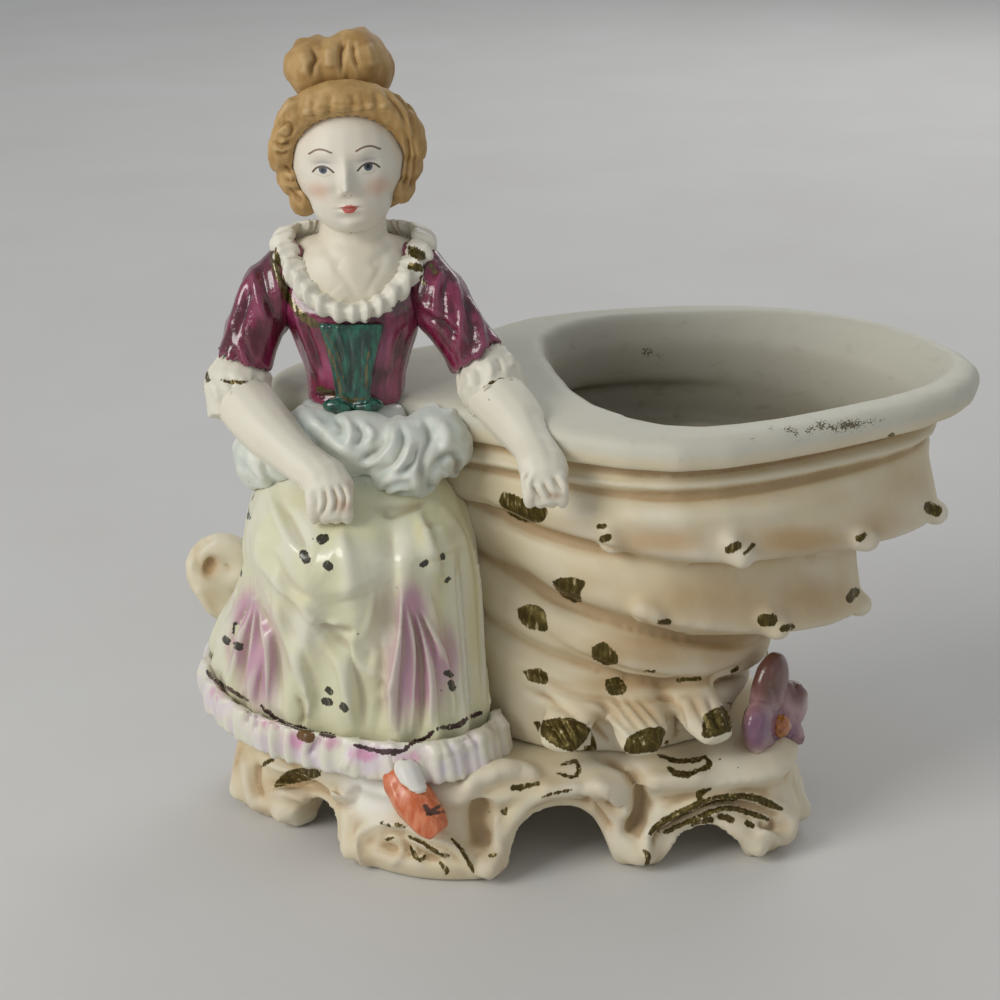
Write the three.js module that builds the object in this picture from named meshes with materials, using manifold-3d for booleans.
// A figural planter in painted bisque porcelain: a seated lady beside a wide conch-shaped vase,
// both standing on a low scroll base with arched feet. Its pieces are the separate clay parts
// that a repairer lutes together before firing, so a narrow slip seam lies between neighbours.
// Millimetres, +Z up, +X to the viewer's right, -Y towards the viewer.
import * as THREE from "three";
import { mergeVertices } from "three/addons/utils/BufferGeometryUtils.js";
import Module from "manifold-3d";

const wasm = await Module();
wasm.setup();

// Slip seam between two clay parts
const luteGap = 0.3;

// Base: a low hollow plinth on scroll feet, open underneath
const baseCentre = [-12.5, -1];
const baseLength = 98;
const baseDepth = 59;
const baseHeight = 18;
const baseWall = 4.5;
const baseTopThickness = 4;
const baseWaistIn = 3.2; // how far the sides draw in above the feet
const footHeight = 3; // plain toe under each arch
const mouldingRadius = 1.4; // rolled edge over each arch
const ventRadius = 3; // firing vent from the skirt's cavity

// Shell vase
const shellLeft = -50.5; // narrow end, behind the lady
const shellRight = 64.8; // spout
const shellFront = -28;
const shellBack = 38;
const shellHeight = 57.5; // base top to the front of the lip
const shellWall = 4.2;
const shellFloor = 8; // clay under the planting space
const lipRoll = 1.7; // how far the rolled lip stands out
const lipBackLift = 3.2; // the back of the lip stands higher than the front
const knobRadius = 2.5;
const leafHalfWidth = 4.9; // fluted leaves at the shell's foot
const leafThickness = 4.6;

// Lady
const figureX = -37;
const skirtHeight = shellHeight - 0.5; // hem to waist, which is level with the shell's lip
const lapHeight = skirtHeight - 13.5;
const hemHalfWidth = 22.7;
const hemFront = -23;
const hemBack = 13;
const hemMiddle = 0.5; // depth at which the hem is widest
const hemSkew = 0.4; // the hem lies further back at the left than at the right
const kneeHalfWidth = 18.3;
const kneeFront = -31.5;
const skirtWall = 3.5;
const pleatCount = 20;
const pleatDepth = 1.1;
const flounceHeight = 6.2;
const flounceThickness = 1.8;
const flouncePleats = 34;
const waistHalfWidth = 7.6;
const waistHalfDepth = 5.6;
const bodiceHeight = 25;
const shoulderHalfWidth = 12;
const neckRadius = 5;
const neckHeight = 5;
const headHalfWidth = 9;
const headHalfDepth = 9.4;
const headHalfHeight = 9.8;
const headTilt = -4; // degrees, towards the viewer's left
const hairThickness = 1.6;
const sleeveRadius = 4.6;
const forearmRadius = 3.8;
const cuffThickness = 1.3;
const cuffLength = 2.4;
const frillHeight = 3.2;
const frillThickness = 1.7;
const frillRuffles = 20;
const shoeLength = 15;
const shoeHalfWidth = 3.3;

// Flower on the right end of the base, volute on the left end
const petalLength = 8.6;
const petalCount = 5;
const flowerCentreRadius = 1.9;
const voluteRadius = 4.6;
const voluteThickness = 4.6;

const baseTop = baseHeight;
const hemZ = baseTop + luteGap;
const waistZ = hemZ + skirtHeight;
const shoulderZ = waistZ + bodiceHeight;
const neckTop = shoulderZ + neckHeight;
const lipZ = baseTop + shellHeight;

const tau = 2 * Math.PI;
const radians = THREE.MathUtils.degToRad;
const mix = (a, b, t) => a + (b - a) * t;
const clamp01 = (t) => Math.min(1, Math.max(0, t));
const smooth = (t) => clamp01(t) ** 2 * (3 - 2 * clamp01(t));

// Closed surface through rings of equal length. An open run of rings gets a fan at each end.
function loft(rings, closed = false) {
  const count = rings[0].length;
  const points = rings.flat().map((p) => p.clone());
  const faces = [];
  const spans = closed ? rings.length : rings.length - 1;
  for (let r = 0; r < spans; r++) {
    const here = r * count;
    const next = ((r + 1) % rings.length) * count;
    for (let i = 0; i < count; i++) {
      const j = (i + 1) % count;
      faces.push(here + i, here + j, next + j, here + i, next + j, next + i);
    }
  }
  const fan = (ring, start, up) => {
    const middle = ring.reduce((sum, p) => sum.add(p), new THREE.Vector3());
    const centre = points.push(middle.divideScalar(count)) - 1;
    for (let i = 0; i < count; i++) {
      const j = (i + 1) % count;
      faces.push(centre, start + (up ? i : j), start + (up ? j : i));
    }
  };
  if (!closed) {
    fan(rings[0], 0, false);
    fan(rings.at(-1), (rings.length - 1) * count, true);
  }
  return new THREE.BufferGeometry().setFromPoints(points).setIndex(faces);
}

// Closed geometry as a solid that can be cut and joined
function solid(geometry) {
  const bare = geometry.clone();
  bare.deleteAttribute("normal");
  bare.deleteAttribute("uv");
  const merged = mergeVertices(bare, 1e-4);
  const vertProperties = new Float32Array(merged.attributes.position.array);
  const triVerts = new Uint32Array(merged.index.array);
  const made = new wasm.Manifold(new wasm.Mesh({ numProp: 3, vertProperties, triVerts }));
  if (made.volume() > 0) return made;
  for (let i = 0; i < triVerts.length; i += 3)
    [triVerts[i + 1], triVerts[i + 2]] = [triVerts[i + 2], triVerts[i + 1]];
  return new wasm.Manifold(new wasm.Mesh({ numProp: 3, vertProperties, triVerts }));
}

const join = (...pieces) => pieces.reduce((all, piece) => all.add(piece));
const cut = (piece, ...tools) => tools.reduce((left, tool) => left.subtract(tool), piece);

// The largest body, without the crumbs that a cut leaves
const mainBody = (piece) =>
  piece.decompose().reduce((best, part) => (part.volume() > best.volume() ? part : best));

// Egg-shaped lump of clay
function lump([x, y, z], [rx, ry, rz], { grow = 0, turn = [0, 0, 0], facets = 12 } = {}) {
  const egg = new THREE.SphereGeometry(1, facets, Math.round(facets * 0.65));
  egg.rotateX(Math.PI / 2).scale(rx + grow, ry + grow, rz + grow);
  const [ax, ay, az] = turn.map(radians);
  egg.rotateX(ax).rotateY(ay).rotateZ(az);
  return solid(egg.translate(x, y, z));
}

// Round sections of changing size along a smooth line. A station is [x, y, z, radius, flatness].
function limb(stations, { sides = 12, steps = 10, grow = 0, across = [1, 0, 0] } = {}) {
  const line = new THREE.CatmullRomCurve3(stations.map(([x, y, z]) => new THREE.Vector3(x, y, z)));
  const sizeAt = (t, k) => {
    const place = t * (stations.length - 1);
    const i = Math.min(stations.length - 2, Math.floor(place));
    return mix(stations[i][k] ?? 1, stations[i + 1][k] ?? 1, smooth(place - i));
  };
  const ringAt = (t, shrink, ahead) => {
    const along = line.getTangent(t);
    const side = new THREE.Vector3(...across);
    side.addScaledVector(along, -side.dot(along)).normalize();
    const rise = new THREE.Vector3().crossVectors(along, side);
    const radius = sizeAt(t, 3) + grow;
    const centre = line.getPoint(t).addScaledVector(along, ahead * radius);
    return Array.from({ length: sides }, (_, i) => {
      const a = (tau * i) / sides;
      return centre
        .clone()
        .addScaledVector(side, shrink * radius * Math.cos(a))
        .addScaledVector(rise, shrink * radius * sizeAt(t, 4) * Math.sin(a));
    });
  };
  const ahead = 0.75; // where the domed end's last ring stands
  const shrink = Math.sqrt(1 - ahead ** 2);
  return solid(
    loft([
      ringAt(0, shrink, -ahead),
      ...Array.from({ length: steps + 1 }, (_, i) => ringAt(i / steps, 1, 0)),
      ringAt(1, shrink, ahead),
    ]),
  );
}

// Smooth closed outline through plan points
function outline(points, count) {
  const corners = points.map(([x, y]) => new THREE.Vector3(x, y, 0));
  const curve = new THREE.CatmullRomCurve3(corners, true);
  return Array.from({ length: count }, (_, i) => curve.getPoint(i / count));
}

// Distance from a centre to a closed outline in a given direction
function reach(ring, [cx, cy], angle) {
  const [dx, dy] = [Math.cos(angle), Math.sin(angle)];
  let furthest = 0;
  ring.forEach((p, i) => {
    const q = ring[(i + 1) % ring.length];
    const [ex, ey] = [q.x - p.x, q.y - p.y];
    const det = dx * ey - dy * ex;
    if (Math.abs(det) < 1e-9) return;
    const along = ((p.x - cx) * ey - (p.y - cy) * ex) / det;
    const share = ((p.x - cx) * dy - (p.y - cy) * dx) / det;
    if (share >= 0 && share <= 1) furthest = Math.max(furthest, along);
  });
  return furthest;
}

// The point of an outline in a given direction from the base's centre
function edgePoint(ring, angle, inset = 0) {
  const r = reach(ring, baseCentre, angle) - inset;
  return [baseCentre[0] + r * Math.cos(angle), baseCentre[1] + r * Math.sin(angle)];
}

// Base

// Plan at the floor, as shares of the half length and the half depth
const basePlanShape = [
  [-1, 0.1], [-0.93, -0.15], [-0.82, -0.3], [-0.66, -0.56], [-0.49, -0.84], [-0.3, -1], [-0.12, -1.02],
  [0.12, -0.93], [0.34, -0.86], [0.56, -0.84], [0.76, -0.78], [0.93, -0.68], [1.01, -0.45], [1.03, -0.05],
  [0.98, 0.4], [0.8, 0.76], [0.5, 0.94], [0.15, 1], [-0.25, 1], [-0.6, 0.92], [-0.87, 0.66],
];
const baseOutline = outline(
  basePlanShape.map(([x, y]) => [baseCentre[0] + (x * baseLength) / 2, baseCentre[1] + (y * baseDepth) / 2]),
  42,
);
const baseNormals = baseOutline.map((_, i) => {
  const next = baseOutline[(i + 1) % baseOutline.length];
  const before = baseOutline.at(i - 1);
  return new THREE.Vector3(next.y - before.y, before.x - next.x, 0).normalize();
});

const basePlan = (inset, z) =>
  baseOutline.map((p, i) => p.clone().addScaledVector(baseNormals[i], -inset).setZ(z));

// Feet flare outwards at the floor, and the sides again at the moulded top edge
function baseInset(z) {
  const toe = 2.2 * smooth(1 - z / footHeight);
  const waist = baseWaistIn * smooth((z - footHeight) / (baseHeight * 0.5));
  const lip = 2.2 * smooth((z - baseHeight * 0.62) / (baseHeight * 0.2));
  const roundOff = 3 * smooth((z - baseHeight * 0.86) / (baseHeight * 0.14));
  return toe + waist - lip + roundOff;
}

function baseBody(grow = 0) {
  const levels = [0, 0.08, 0.2, 0.45, 0.68, 0.82, 0.93, 1];
  const rings = levels.map((t) => basePlan(baseInset(t * baseHeight) - grow, t * (baseHeight + grow)));
  return solid(loft(rings));
}

// Arches between the feet: direction from the base's centre in degrees, span and rise
const arches = [
  { turn: 207, span: 14, rise: 8 },
  { turn: 288, span: 20, rise: 11.5 },
  { turn: 324, span: 15, rise: 7.5 },
  { turn: 3, span: 20, rise: 8 },
  { turn: 58, span: 20, rise: 8 },
  { turn: 124, span: 22, rise: 8 },
  { turn: 172, span: 14, rise: 7 },
];

// Middle of an arch on the base's outline, and the way that it faces
function archPlace({ turn }) {
  const a = radians(turn);
  const [before, middle, next] = [a - 0.1, a, a + 0.1].map((angle) => edgePoint(baseOutline, angle));
  return { middle, facing: Math.atan2(before[0] - next[0], next[1] - before[1]) };
}

function archTool(arch) {
  const half = arch.span / 2;
  const { rise } = arch;
  const { middle, facing } = archPlace(arch);
  const profile = new THREE.Shape();
  profile.moveTo(-half, -1);
  profile.lineTo(half, -1);
  profile.lineTo(half, 0);
  profile.bezierCurveTo(half * 0.75, rise * 0.45, half * 0.8, rise, 0, rise);
  profile.bezierCurveTo(-half * 0.8, rise, -half * 0.75, rise * 0.45, -half, 0);
  const depth = 6 * baseWall;
  const tunnel = new THREE.ExtrudeGeometry(profile, { depth, bevelEnabled: false, curveSegments: 5 });
  tunnel.translate(0, 0, -depth / 2).rotateX(Math.PI / 2);
  tunnel.rotateZ(facing + Math.PI / 2).translate(...middle, 0);
  return solid(tunnel);
}

// Rolled moulding over an arch, ending in two small volutes
function archMoulding(arch) {
  const { middle, facing } = archPlace(arch);
  const half = arch.span / 2 + 2.2;
  const path = [-1, -0.8, -0.45, 0, 0.45, 0.8, 1].map((s) => {
    const lift = footHeight + (arch.rise + 0.8) * (1 - Math.abs(s) ** 2.4);
    const beside = [middle[0] - Math.sin(facing) * half * s, middle[1] + Math.cos(facing) * half * s];
    const angle = Math.atan2(beside[1] - baseCentre[1], beside[0] - baseCentre[0]);
    const radius = mouldingRadius * (Math.abs(s) > 0.9 ? 1.6 : 1);
    return [...edgePoint(basePlan(baseInset(lift), lift), angle, 0.3), lift, radius];
  });
  return limb(path, { sides: 6, steps: 9, across: [Math.cos(facing), Math.sin(facing), 0] });
}

function scrollBase(vent) {
  const ceiling = baseHeight - baseTopThickness;
  const hollow = [-1, ceiling * 0.6, ceiling].map((z) =>
    basePlan(baseInset(Math.max(0, z)) + baseWall + (z === ceiling ? 1.5 : 0), z),
  );
  const belowFloor = solid(new THREE.BoxGeometry(300, 300, 40).translate(0, 0, -20));
  const body = join(baseBody(), ...arches.map(archMoulding));
  return cut(body, solid(loft(hollow)), ...arches.map(archTool), vent, belowFloor);
}

// Shell vase

// Plan of the lip and of the mouth inside it. The flat shelf between them is widest at the narrow end.
const lipPlan = [
  [66, 7], [60, -4], [46, -14], [30, -23], [14, -28], [-2, -23], [-15, -14], [-30, -7], [-43, -5],
  [-50.5, 2], [-46, 9], [-32, 13], [-20, 19], [-8, 30], [10, 36.5], [30, 38], [47.5, 32], [60.5, 19],
];
const mouthPlan = [
  [63.5, 8], [57, -2], [43, -10.5], [28, -18.5], [15, -21.5], [3, -13], [-4, 4], [-6, 20], [2, 29],
  [18, 33], [35, 33.5], [50.5, 27], [60.5, 16.5],
];
const planSize = new THREE.Box2().setFromPoints(lipPlan.map(([x, y]) => new THREE.Vector2(x, y)));
const shellCentre = [mix(shellLeft, shellRight, 0.5), mix(shellFront, shellBack, 0.5)];

// A plan point as shares of the half length and half depth, from -1 to 1
const planShare = (p) => [
  (2 * (p.x - planSize.min.x)) / (planSize.max.x - planSize.min.x) - 1,
  (2 * (p.y - planSize.min.y)) / (planSize.max.y - planSize.min.y) - 1,
];
const lipShares = outline(lipPlan, 36).map(planShare);
const mouthShares = outline(mouthPlan, 28).map(planShare);

// Levels of the whorls from the groove under the lip down to the foot. "inset" is how far each level
// lies inside the lip's plan at the narrow end, the spout, the front and the back; "up" is its height
// at the narrow end and under the spout, as shares of the shell's height; "round" turns its plan from
// the lip's outline into an oval; "knobs" are the points of the outline that carry a knob.
const whorls = [
  { inset: [4, 6, 2.6, 3], up: [0.81, 0.925], round: 0.1 },
  { inset: [11, 6.5, -0.6, 1.5], up: [0.795, 0.76], round: 0.2 },
  { inset: [14.5, 4.2, -1.4, 2], up: [0.78, 0.6], round: 0.3, knobs: [1, 4, 7, 10, 26, 29, 32, 34] },
  { inset: [19.5, 18.5, 4.5, 8], up: [0.755, 0.565], round: 0.35 },
  { inset: [21.5, 18, 2.6, 8.5], up: [0.74, 0.45], round: 0.45 },
  { inset: [23.5, 16.8, 2, 9], up: [0.71, 0.32], round: 0.5, knobs: [1, 5, 9, 27, 30, 34] },
  { inset: [27, 32, 8.5, 14], up: [0.6, 0.29], round: 0.6 },
  { inset: [27.5, 32, 6, 14.5], up: [0.56, 0.25], round: 0.7 },
  { inset: [28, 33, 5.5, 15], up: [0.47, 0.18], round: 0.8 },
  { inset: [30, 39, 9.5, 20], up: [0.41, 0.165], round: 0.85 },
  { inset: [29.5, 35.5, 6, 18.5], up: [0.32, 0.12], round: 0.9 },
  { inset: [31, 38.5, 7.5, 20.5], up: [0.16, 0.06], round: 1 },
  { inset: [32, 39, 8, 21], up: [0, 0], round: 1 },
];

// Share of a whorl's drop from the narrow end to the spout, steepest near the narrow end
const windStart = Math.sqrt(0.1);
const wind = (share) => (Math.sqrt(0.1 + 0.9 * clamp01(share)) - windStart) / (1 - windStart);

function whorlRing({ inset: [left, right, front, back], up, round }, grow = 0, lift = 0) {
  const [x0, x1] = [shellLeft + left - grow, shellRight - right + grow];
  const [y0, y1] = [shellFront + front - grow, shellBack - back + grow];
  return lipShares.map(([u, v]) => {
    const a = Math.atan2(v, u);
    const across = (mix(u, Math.cos(a), round) + 1) / 2;
    const deep = (mix(v, Math.sin(a), round) + 1) / 2;
    const z = baseTop + shellHeight * mix(...up, wind(across)) + lift;
    return new THREE.Vector3(mix(x0, x1, across), mix(y0, y1, deep), z);
  });
}

// The mouth or the lip at a distance below its edge
const lipRise = (y) => lipBackLift * smooth((y - shellFront - 10) / (shellBack - shellFront - 16));
function lipRing(shares, drop, out, outLong = out) {
  const halfLength = (shellRight - shellLeft) / 2 + outLong;
  const halfDepth = (shellBack - shellFront) / 2 + out;
  return shares.map(([u, v]) => {
    const y = shellCentre[1] + halfDepth * v;
    return new THREE.Vector3(shellCentre[0] + halfLength * u, y, lipZ + lipRise(y) - drop);
  });
}

function shellKnobs({ knobs = [], ...level }, grow) {
  const ring = whorlRing(level);
  const centre = new THREE.Vector3(...shellCentre, 0);
  return knobs.map((i) => {
    const outward = ring[i].clone().sub(centre).setZ(0).normalize();
    const at = ring[i].clone().addScaledVector(outward, -0.4);
    return lump([at.x, at.y, at.z + 0.8], [knobRadius, knobRadius, knobRadius * 0.9], { grow, facets: 8 });
  });
}

function shellOuter(grow = 0) {
  const band = [
    lipRing(lipShares, 5.2, lipRoll * 0.5 + grow),
    lipRing(lipShares, 3, lipRoll + grow),
    lipRing(lipShares, 0.8, lipRoll * 0.7 + grow),
    lipRing(lipShares, -grow, -0.6 + grow),
  ];
  const foot = grow ? [whorlRing(whorls.at(-1), grow).map((p) => p.setZ(p.z - grow))] : [];
  return solid(loft([...foot, ...whorls.toReversed().map((w) => whorlRing(w, grow)), ...band]));
}

// The planting space follows the whorls inside the wall, under a mouth narrower than the shell
function shellCavity() {
  const inner = (level, lift = shellWall) => whorlRing(level, -shellWall, lift);
  const [floor, ...levels] = whorls.slice(1).toReversed();
  const room = [inner(floor, shellFloor), ...levels.slice(1).map((level) => inner(level))];
  const mouth = [
    lipRing(mouthShares, 17, -0.8 * shellWall, -2.6 * shellWall),
    lipRing(mouthShares, 5, -0.6 * shellWall, -1.7 * shellWall),
    lipRing(mouthShares, 0, 0),
    lipRing(mouthShares, -6, 0.4),
  ];
  return join(solid(loft(room)), solid(loft(mouth)));
}

// Fluted leaves that flare from the shell's foot over the base, by their direction from the shell's axis
const footAxis = [7.5, -1.5];
const leaves = [245, 273, 302, 30, 84, 140];

function footLeaf(turn, grow) {
  const a = radians(turn);
  const edge = reach(whorlRing(whorls.at(-3)), footAxis, a);
  const flatness = leafThickness / 2 / leafHalfWidth;
  const at = (r, up, half) => [
    footAxis[0] + r * Math.cos(a), footAxis[1] + r * Math.sin(a), baseTop + up, half, flatness,
  ];
  const path = [
    at(edge - 5, 12, leafHalfWidth * 0.7),
    at(edge - 1, 10, leafHalfWidth),
    at(edge + 4, 6.8, leafHalfWidth),
  ];
  return limb(path, { sides: 10, steps: 4, grow, across: [-Math.sin(a), Math.cos(a), 0] });
}

const shellFilled = (grow = 0) =>
  join(
    shellOuter(grow),
    ...whorls.flatMap((level) => shellKnobs(level, grow)),
    ...leaves.map((turn) => footLeaf(turn, grow)),
  );

// Skirt sections from the hem to the waist: height, half width, sideways shift, y where it is widest,
// front and back edges, pleat depth and skew
const toWaist = (t) => mix(lapHeight, skirtHeight, t);
const skirtSections = [
  [0, hemHalfWidth, -1.5, hemMiddle, hemFront, hemBack, pleatDepth, hemSkew],
  [lapHeight * 0.2, hemHalfWidth + 1.2, -2.2, hemMiddle - 1.5, hemFront - 2, hemBack, pleatDepth, 0.32],
  [lapHeight * 0.42, hemHalfWidth - 1.2, -0.8, hemMiddle - 3.5, hemFront - 4.5, hemBack - 1, pleatDepth, 0.2],
  [lapHeight * 0.66, kneeHalfWidth + 0.6, 0.8, -6, kneeFront + 1.4, hemBack - 3, pleatDepth * 0.9, 0.08],
  [lapHeight * 0.88, kneeHalfWidth, 0.2, -9, kneeFront, hemBack - 4, pleatDepth * 0.4, 0],
  [lapHeight, kneeHalfWidth - 2.4, 0, -9, kneeFront + 5, hemBack - 5, 0, 0],
  [toWaist(0.25), kneeHalfWidth - 5, 0, -7, kneeFront + 12, hemBack - 6, 0, 0],
  [toWaist(0.6), waistHalfWidth + 3, 0, -6, -15, 4, 0, 0],
  [skirtHeight, waistHalfWidth + 0.8, 0, -6, -12.5, 1, 0, 0],
];

function skirtSection(up) {
  const above = skirtSections.findIndex((s) => s[0] >= up);
  const i = Math.max(1, above < 0 ? skirtSections.length - 1 : above);
  const [low, high] = [skirtSections[i - 1], skirtSections[i]];
  const t = clamp01((up - low[0]) / (high[0] - low[0]));
  return low.map((v, k) => mix(v, high[k], t));
}

// Two soft humps where the knees push the cloth forward
function kneeHump(a, up) {
  const near = smooth(1 - Math.abs(up - lapHeight * 0.85) / 12);
  return 2 * near * [4.45, 5.1].reduce((sum, at) => sum + smooth(1 - Math.abs(a - at) / 0.4), 0);
}

function skirtPoint(a, up, { grow = 0, pleated = false } = {}) {
  const [, half, shift, middle, front, back, pleat, skew] = skirtSection(up);
  const shape = (v) => Math.sign(v) * Math.abs(v) ** 0.85;
  const out = grow + (pleated ? pleat * Math.cos(pleatCount * a) : 0) + kneeHump(a, up);
  const deep = Math.sin(a) < 0 ? middle - front : back - middle;
  const x = half * shape(Math.cos(a)) + out * Math.cos(a);
  const y = middle + deep * shape(Math.sin(a)) + out * Math.sin(a);
  return new THREE.Vector3(figureX + shift + x, y - skew * x, hemZ + up);
}

const skirtRing = (up, { count = 3 * pleatCount, ...how } = {}) =>
  Array.from({ length: count }, (_, i) => skirtPoint((tau * i) / count, up, how));

function skirtBody(grow = 0) {
  const toLap = [0.2, 0.42, 0.66, 0.8, 0.9, 1].map((t) => t * lapHeight);
  const heights = [-grow, ...toLap, ...[0.25, 0.6, 1].map(toWaist)];
  return solid(loft(heights.map((up) => skirtRing(up, { grow, pleated: true }))));
}

// Hollow inside the skirt, which keeps a wall towards the shell too
function skirtCavity() {
  const inner = { grow: -skirtWall - pleatDepth, count: 24 };
  const heights = [-2, lapHeight * 0.42, lapHeight * 0.66, lapHeight * 0.84];
  return cut(solid(loft(heights.map((up) => skirtRing(up, inner)))), shellFilled(luteGap + skirtWall));
}

// A pleated band round the hem, from behind the left end to the shell's side
function hemFlounce(grow = 0) {
  const steps = 2 * flouncePleats;
  const [from, to] = [radians(150), radians(350)];
  const inner = luteGap + pleatDepth + 0.1 - grow;
  const rings = Array.from({ length: steps + 1 }, (_, s) => {
    const a = mix(from, to, s / steps);
    const outer = inner + flounceThickness + (s % 2 ? 0.8 : 0) + 2 * grow;
    return [
      skirtPoint(a, -grow, { grow: inner }),
      skirtPoint(a, -grow, { grow: outer + 0.8 }),
      skirtPoint(a, flounceHeight * 0.55, { grow: outer }),
      skirtPoint(a, flounceHeight + grow, { grow: inner + 0.8 + 2 * grow }),
      skirtPoint(a, flounceHeight + grow, { grow: inner }),
    ];
  });
  return solid(loft(rings));
}

// Gathered overskirt: soft puffs round the hips
function overskirt(grow = 0) {
  const hip = waistZ - 7;
  return join(
    lump([figureX - 12, -9, hip - 1.5], [8, 8.4, 6.6], { grow, facets: 10 }),
    lump([figureX - 5.5, -11.5, hip + 2.6], [6.4, 6, 4.6], { grow, facets: 10 }),
    lump([figureX + 1, -14, hip + 1.8], [7.4, 6.6, 5.4], { grow, facets: 10 }),
    lump([figureX + 8.5, -16, hip], [6.6, 7.4, 6.4], { grow, facets: 10 }),
    lump([figureX + 13, -12.5, hip + 1.6], [6.4, 7.6, 5.6], { grow, facets: 10 }),
    lump([figureX + 9, -2, hip + 2], [9, 8.5, 5.6], { grow, facets: 10 }),
    lump([figureX - 6, 2, hip + 1], [11, 7.5, 6], { grow, facets: 10 }),
  );
}

// Torso sections: share of the bodice's height, half width, half depth, centre y
const torsoSections = [
  [0, waistHalfWidth, waistHalfDepth, -6.2],
  [0.17, waistHalfWidth + 0.2, waistHalfDepth + 0.2, -6],
  [0.35, waistHalfWidth + 1.4, waistHalfDepth + 0.8, -5.8],
  [0.6, shoulderHalfWidth - 0.6, waistHalfDepth + 1.1, -5.2],
  [0.8, shoulderHalfWidth, waistHalfDepth, -4],
  [0.92, shoulderHalfWidth - 1.2, waistHalfDepth - 1.2, -3],
  [1, shoulderHalfWidth - 4, waistHalfDepth - 2.6, -2.6],
];

function bodiceBody(grow = 0) {
  const count = 22;
  const rings = torsoSections.map(([share, half, deep, cy]) =>
    Array.from({ length: count }, (_, i) => {
      const a = (tau * i) / count;
      const z = waistZ + share * bodiceHeight + (share === 1 ? grow : 0);
      return new THREE.Vector3(figureX + (half + grow) * Math.cos(a), cy + (deep + grow) * Math.sin(a), z);
    }),
  );
  return solid(loft(rings));
}

// Bare shoulders, chest and neck, let into the low neckline
function bust(grow = 0) {
  return join(
    lump([figureX, -5, shoulderZ - 4.6], [8.8, 6.6, 7.4], { grow, turn: [-16, 0, 0], facets: 16 }),
    lump([figureX, -2.4, shoulderZ - 1.6], [10.8, 4.4, 3], { grow, facets: 14 }),
    limb(
      [
        [figureX, -3.2, shoulderZ - 3, neckRadius + 3],
        [figureX, -3.4, shoulderZ + 1, neckRadius + 0.3],
        [figureX + 0.2, -4, neckTop, neckRadius],
      ],
      { sides: 14, steps: 5, grow },
    ),
  );
}

// Pointed front panel with a bow at its foot
function stomacher() {
  const top = bodiceHeight * 0.56;
  const panel = new THREE.Shape();
  panel.moveTo(-5, top);
  panel.quadraticCurveTo(-2.6, top * 0.45, -2.5, 0.6);
  panel.lineTo(2.5, 0.6);
  panel.quadraticCurveTo(2.6, top * 0.45, 5, top);
  const slab = new THREE.ExtrudeGeometry(panel, { depth: 8, bevelEnabled: false, curveSegments: 4 });
  slab.rotateX(Math.PI / 2).translate(figureX, -7, waistZ);
  const bowFront = -7 - waistHalfDepth;
  const bow = [-2.3, 2.3].map((x) => lump([figureX + x, bowFront, waistZ + 0.8], [2.6, 1.5, 1.2], { facets: 8 }));
  return join(solid(slab).intersect(bodiceBody(1.3)), ...bow);
}

// Ruffled frill that covers the neckline's seam all the way round: [x, y, z] from the shoulder line
const frillHalf = [
  [0, -12.6, -9.4], [5, -11.6, -8], [9, -8.6, -4.4], [11.6, -4.4, -0.6], [11.2, 0.2, 0.2], [6.5, 2.4, 0],
];
const frillOtherHalf = frillHalf.slice(1).reverse().map(([x, y, z]) => [-x, y, z]);
const frillPath = [...frillHalf, [0, 2.8, -0.2], ...frillOtherHalf];

function collarFrill(grow = 0) {
  const points = frillPath.map(([x, y, z]) => new THREE.Vector3(figureX + x, y, shoulderZ + z));
  const line = new THREE.CatmullRomCurve3(points, true);
  const middle = new THREE.Vector3(figureX, -4, shoulderZ - 4);
  const steps = 2 * frillRuffles;
  const rings = Array.from({ length: steps }, (_, s) => {
    const at = line.getPoint(s / steps);
    const along = line.getTangent(s / steps);
    const out = at.clone().sub(middle);
    out.addScaledVector(along, -out.dot(along)).normalize();
    const rise = new THREE.Vector3().crossVectors(along, out);
    const thick = (frillThickness / 2) * (s % 2 ? 1.25 : 0.8) + grow;
    return Array.from({ length: 6 }, (_, i) => {
      const a = (tau * i) / 6;
      const section = at.clone().addScaledVector(out, thick * Math.cos(a));
      return section.addScaledVector(rise, (frillHeight / 2 + grow) * Math.sin(a));
    });
  });
  return solid(loft(rings, true));
}

// Head and hair, placed from the middle of the head and tilted about it
const headCentre = [figureX - 0.4, -4, neckTop + headHalfHeight - 0.8];
function onHead([x, y, z]) {
  const [c, s] = [Math.cos(radians(headTilt)), Math.sin(radians(headTilt))];
  return [headCentre[0] + c * x + s * z, headCentre[1] + y, headCentre[2] + c * z - s * x];
}
const headLump = (at, radii, how = {}) => lump(onHead(at), radii, how);

function headBody(grow = 0) {
  const [w, d, h] = [headHalfWidth, headHalfDepth, headHalfHeight];
  return join(
    headLump([0, 0, 0.4], [w, d, h], { grow, facets: 20 }),
    headLump([0, -2.4, -h * 0.55], [w * 0.72, d * 0.68, h * 0.64], { grow, turn: [14, 0, 0], facets: 16 }),
    headLump([0, -d + 0.3, -h * 0.18], [1.1, 1.7, 2.1], { grow, turn: [-12, 0, 0], facets: 8 }),
  );
}

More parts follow.
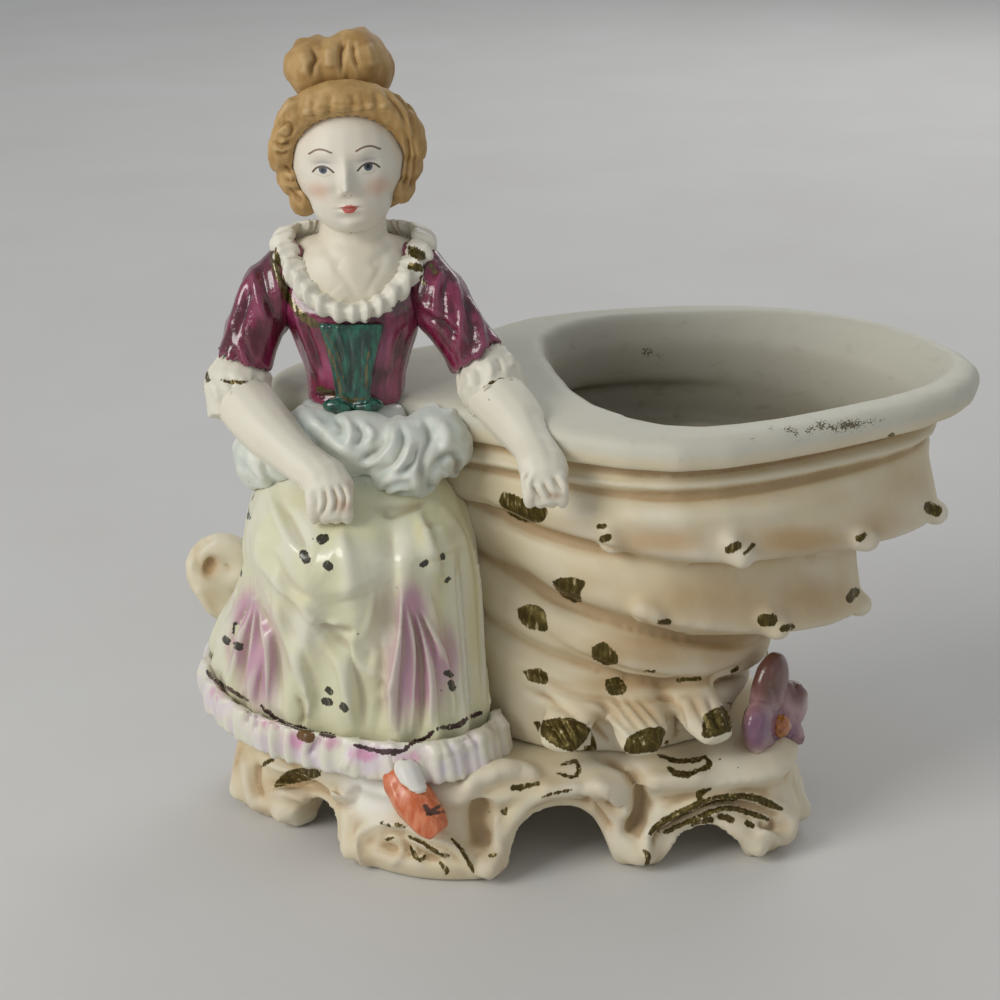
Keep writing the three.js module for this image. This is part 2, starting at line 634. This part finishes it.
// Hair swept up from the nape, with a rolled fringe and curls over the ears that tuck in below
const tuck = (z) => 2 * smooth(-z / 7);
function hairBody(grow = 0) {
  const [w, d, h] = [headHalfWidth + hairThickness, headHalfDepth, headHalfHeight];
  const curl = (side, z, size) =>
    headLump([side * (w - 1.2 - tuck(z)), -0.6, z], [size * 0.8, size * 1.1, size], { grow, facets: 8 });
  const fringe = [
    [-w + 0.4, -2, 0.6, 2.2],
    [-w + 1.8, -4, 5.6, 2.4],
    [-w * 0.48, -d + 4.2, 9, 2.7],
    [0.2, -d + 3.8, 10.2, 2.9],
    [w * 0.5, -d + 4.2, 9, 2.7],
    [w - 1.4, -4, 5.6, 2.4],
    [w - 0.2, -2, 1, 2.2],
  ].map(([x, y, z, r]) => [...onHead([x, y, z]), r]);
  return join(
    headLump([-0.2, 2.6, 2], [w + 0.2, d, h], { grow, facets: 16 }),
    headLump([0, 4.2, -3], [w - 0.2, 6.8, 7.4], { grow, facets: 12 }),
    limb(fringe, { sides: 8, steps: 11, grow, across: [0, 0, 1] }),
    ...[1.8, -2.2, -5.8].map((z, i) => curl(-1, z, 3.4 - 0.2 * i)),
    ...[2, -1.8, -5].map((z, i) => curl(1, z, 3.2 - 0.2 * i)),
  );
}

// Top knot: two fat rolls of hair side by side
function hairRoll(grow = 0) {
  const top = headHalfHeight + 4.4;
  return join(
    headLump([-4.2, 1.4, top - 0.2], [4.4, 5.8, 4.6], { grow }),
    headLump([-0.6, 1, top + 0.2], [4, 5.4, 4.2], { grow, facets: 10 }),
    headLump([2.6, 1.8, top + 0.4], [4.4, 5.8, 4.8], { grow }),
    headLump([4.4, 3, top - 1.4], [3.4, 4.8, 4], { grow, facets: 10 }),
  );
}

// Arms. The right one is on the viewer's left with its hand in the lap; the left hand rests on the shell.
const arms = {
  right: {
    side: -1,
    elbow: [figureX - 18.6, -7, waistZ + 3.6],
    hand: [figureX - 3.2, kneeFront + 5, hemZ + lapHeight + 6],
    puff: 1.4, // how far the sleeve bulges outwards
    bow: -1.2,
  },
  left: {
    side: 1,
    elbow: [figureX + 21.5, -9.6, waistZ + 5.2],
    hand: [figureX + 30, shellFront + 1.2, lipZ - 5],
    puff: -0.2,
    bow: 1,
  },
};
const between = (a, b, t) => a.map((v, k) => mix(v, b[k], t));

function sleeve({ side, elbow, puff }, grow = 0) {
  const top = [figureX + side * (shoulderHalfWidth - 2.4), -3.2, shoulderZ - 3.4];
  const part = (t, out) => {
    const [x, y, z] = between(top, elbow, t);
    return [x + side * out, y, z];
  };
  const path = [
    [...top, sleeveRadius * 0.9],
    [...part(0.3, puff), sleeveRadius * 1.06],
    [...part(0.65, 0.7 * puff), sleeveRadius * 0.95],
    [...elbow, sleeveRadius * 1.04],
  ];
  return limb(path, { sides: 12, steps: 7, grow });
}

function cuff({ side, elbow }, grow = 0) {
  const radius = sleeveRadius + cuffThickness;
  const down = [elbow[0] + side * 0.4, elbow[1] - 1.2, elbow[2] - cuffLength];
  return limb([[...elbow, radius - 0.4], [...down, radius]], { sides: 12, steps: 2, grow });
}

function forearm({ elbow, hand, bow }, grow = 0) {
  const start = [elbow[0], elbow[1] - 1, elbow[2] - 2.4];
  const part = (t) => {
    const [x, y, z] = between(start, hand, t);
    return [x + bow * Math.sin(Math.PI * t), y, z];
  };
  const path = [
    [...start, forearmRadius],
    [...part(0.4), forearmRadius],
    [...part(0.75), forearmRadius * 0.84],
    [...hand, forearmRadius, 0.75],
    [hand[0] + 0.6, hand[1] - 1.4, hand[2] - 3, forearmRadius * 0.8, 0.7],
  ];
  const finger = (k) => {
    const [x, y, z] = [hand[0] + (k - 1.5) * 1.7, hand[1] - 1.8, hand[2] - 0.6];
    const joints = [[x, y, z, 1.05], [x + 0.3, y - 1, z - 2.6, 1], [x + 0.4, y - 0.4, z - 4.4, 0.85]];
    return limb(joints, { sides: 6, steps: 3, grow });
  };
  return join(limb(path, { sides: 12, steps: 10, grow }), ...[0, 1, 2, 3].map(finger));
}

// Foot that peeps from under the hem on the sloping front of the base
const heel = [...edgePoint(baseOutline, radians(238.4), -0.1), baseTop + 0.4];
const shoeWay = new THREE.Vector3(0.62, -0.42, -0.66).normalize().toArray();
const shoePoint = (t) => heel.map((v, k) => v + t * (shoeLength - 2 * shoeHalfWidth) * shoeWay[k]);

function shoeBody(grow = 0) {
  const path = [
    [...shoePoint(0), shoeHalfWidth * 0.8],
    [...shoePoint(0.5), shoeHalfWidth],
    [...shoePoint(1), shoeHalfWidth * 0.85],
  ];
  return limb(path, { sides: 12, steps: 6, grow });
}

function stocking() {
  const ankle = [heel[0] + 1.4, heel[1] - 0.6, heel[2] + 2, 2.3];
  const instep = [heel[0] + 3.2, heel[1] - 3.6, heel[2] - 1.4, 1.8];
  return limb([ankle, instep], { sides: 10, steps: 3 });
}

// Flower: rounded petals round a dome, on the right end of the base
const flowerAt = new THREE.Vector3(...edgePoint(baseOutline, radians(-14), 6), baseTop + 2);
const flowerFacing = new THREE.Vector3(0.8, -0.58, 0.15).normalize();
const flowerTurn = new THREE.Quaternion().setFromUnitVectors(new THREE.Vector3(0, 0, 1), flowerFacing);
const faceFlower = (geometry) => solid(geometry.applyQuaternion(flowerTurn).translate(...flowerAt));

// The first petal stands upright and is longer than the rest
function flowerPetals() {
  const upright = Math.atan2(-flowerFacing.y, -flowerFacing.x);
  const petals = Array.from({ length: petalCount }, (_, i) => {
    const length = petalLength * (i ? 1 : 1.4);
    const petal = new THREE.SphereGeometry(1, 10, 6);
    petal.scale(length * 0.52, petalLength * 0.44, 1.3).rotateY(-0.25);
    petal.translate(length * 0.5, 0, 0.6).rotateZ(upright + (tau * i) / petalCount);
    return faceFlower(petal);
  });
  const hub = new THREE.SphereGeometry(1, 10, 6).scale(petalLength * 0.4, petalLength * 0.4, 2.6);
  return join(faceFlower(hub.translate(0, 0, -1)), ...petals);
}

function flowerCentre() {
  const r = flowerCentreRadius;
  const profile = [[0, 1.7], [r, 1.7], [r, 2.4], [r * 0.7, 3.3], [0, 3.7]];
  const dome = new THREE.LatheGeometry(profile.map(([x, y]) => new THREE.Vector2(x, y)), 12);
  return faceFlower(dome.rotateX(Math.PI / 2));
}

// Volute that stands on the base's left end behind the skirt
function sideScroll() {
  const [x, y, z] = [figureX - hemHalfWidth - 1.6, hemBack, baseTop + 20.4];
  const turns = 1.2;
  const count = 9;
  const spiral = Array.from({ length: count }, (_, i) => {
    const t = i / (count - 1);
    const a = Math.PI * 1.25 - t * turns * tau;
    const r = mix(voluteRadius, 1.2, t);
    return [x + r * Math.cos(a), y, z + r * Math.sin(a), (voluteThickness / 2) * mix(1, 0.6, t), 1.4];
  });
  const stem = [[x + 9, y + 2, baseTop + 3.4, 3.4, 1.3], [x + 4, y + 1, baseTop + 9, 2.8, 1.4]];
  return limb([...stem, ...spiral], { sides: 8, steps: 24, across: [0, 1, 0] });
}

// Assembly

const paint = {
  bisque: [0xe6d9c2, 0.7],
  shellBisque: [0xdac6a4, 0.7],
  cloth: [0xdfe0c4, 0.45],
  lilac: [0xd9c3d2, 0.45],
  paleBlue: [0xcfd8d6, 0.5],
  crimson: [0x7a1c42, 0.2],
  green: [0x1c5a45, 0.3],
  skin: [0xe4d8c8, 0.6],
  white: [0xe6e1d4, 0.6],
  blonde: [0xb98f4e, 0.6],
  coral: [0xd2714a, 0.4],
  mauve: [0xa88494, 0.3],
  amber: [0xa8641e, 0.25],
};

const planter = new THREE.Group();

function place(name, piece, [color, roughness]) {
  const { numProp, vertProperties, triVerts } = mainBody(piece).getMesh();
  const position = new Float32Array((vertProperties.length / numProp) * 3);
  for (let i = 0; i * numProp < vertProperties.length; i++)
    position.set(vertProperties.subarray(i * numProp, i * numProp + 3), i * 3);
  const geometry = new THREE.BufferGeometry();
  geometry.setAttribute("position", new THREE.BufferAttribute(position, 3));
  geometry.setIndex(new THREE.BufferAttribute(triVerts, 1));
  geometry.computeVertexNormals();
  const mesh = new THREE.Mesh(geometry, new THREE.MeshStandardMaterial({ color, roughness, metalness: 0 }));
  mesh.name = name;
  planter.add(mesh);
}

const vent = solid(
  new THREE.CylinderGeometry(ventRadius, ventRadius, 4 * baseTopThickness, 14)
    .rotateX(Math.PI / 2)
    .translate(figureX - 3, -8, baseTop),
);

// Each clearance shape is a neighbour grown by the seam
const aboveBase = solid(new THREE.BoxGeometry(300, 300, 40).translate(0, 0, hemZ - 20));
const near = {
  base: baseBody(luteGap),
  shell: shellFilled(luteGap),
  skirt: skirtBody(luteGap),
  flounce: hemFlounce(luteGap),
  overskirt: overskirt(luteGap),
  bodice: bodiceBody(luteGap),
  bust: bust(luteGap),
  frill: collarFrill(luteGap),
  head: headBody(luteGap),
  hair: hairBody(luteGap),
  shoe: shoeBody(luteGap),
  cuffs: join(cuff(arms.right, luteGap), cuff(arms.left, luteGap)),
  forearms: join(forearm(arms.right, luteGap), forearm(arms.left, luteGap)),
};
const torso = [near.bodice, near.bust, near.frill];

place("scroll_base", scrollBase(vent), paint.bisque);
place("shell_vase", cut(shellFilled(), shellCavity(), aboveBase), paint.shellBisque);
place("side_scroll", cut(sideScroll(), near.skirt, near.flounce, near.shell, aboveBase), paint.bisque);
place("skirt", cut(skirtBody(), skirtCavity(), near.shell), paint.cloth);
place("hem_flounce", cut(hemFlounce(), near.shell, near.skirt, near.base), paint.lilac);
const hips = cut(overskirt(), near.skirt, near.shell, near.bodice, near.forearms, near.cuffs);
place("overskirt", hips, paint.paleBlue);
place("bodice", cut(bodiceBody(), near.bust, near.skirt, near.shell), paint.crimson);
place("stomacher", cut(stomacher(), near.bodice, near.bust, near.overskirt, near.skirt), paint.green);
place("bust", cut(bust(), near.shell), paint.skin);
place("collar_frill", cut(collarFrill(), near.bust, near.bodice, near.head), paint.white);
place("head", cut(headBody(), near.bust), paint.skin);
place("hair", cut(hairBody(), near.head, near.bust, near.frill), paint.blonde);
place("hair_roll", cut(hairRoll(), near.hair, near.head), paint.blonde);
for (const [name, arm] of Object.entries(arms)) {
  place(`${name}_sleeve`, cut(sleeve(arm), ...torso, near.cuffs, near.forearms, near.shell), paint.crimson);
  place(`${name}_cuff`, cut(cuff(arm), near.forearms, near.shell), paint.white);
  place(`${name}_forearm`, cut(forearm(arm), near.shell, near.skirt), paint.skin);
}
place("shoe", cut(shoeBody(), near.base, near.skirt, near.flounce), paint.coral);
place("stocking", cut(stocking(), near.base, near.skirt, near.shoe, near.flounce), paint.white);
place("flower_petals", cut(flowerPetals(), near.shell, near.base), paint.mauve);
place("flower_centre", cut(flowerCentre(), near.shell), paint.amber);

// The part's origin is the middle of its footprint, on the surface that it stands on
const bounds = new THREE.Box3().setFromObject(planter);
planter.position.set(-(bounds.min.x + bounds.max.x) / 2, -(bounds.min.y + bounds.max.y) / 2, -bounds.min.z);

export default planter;
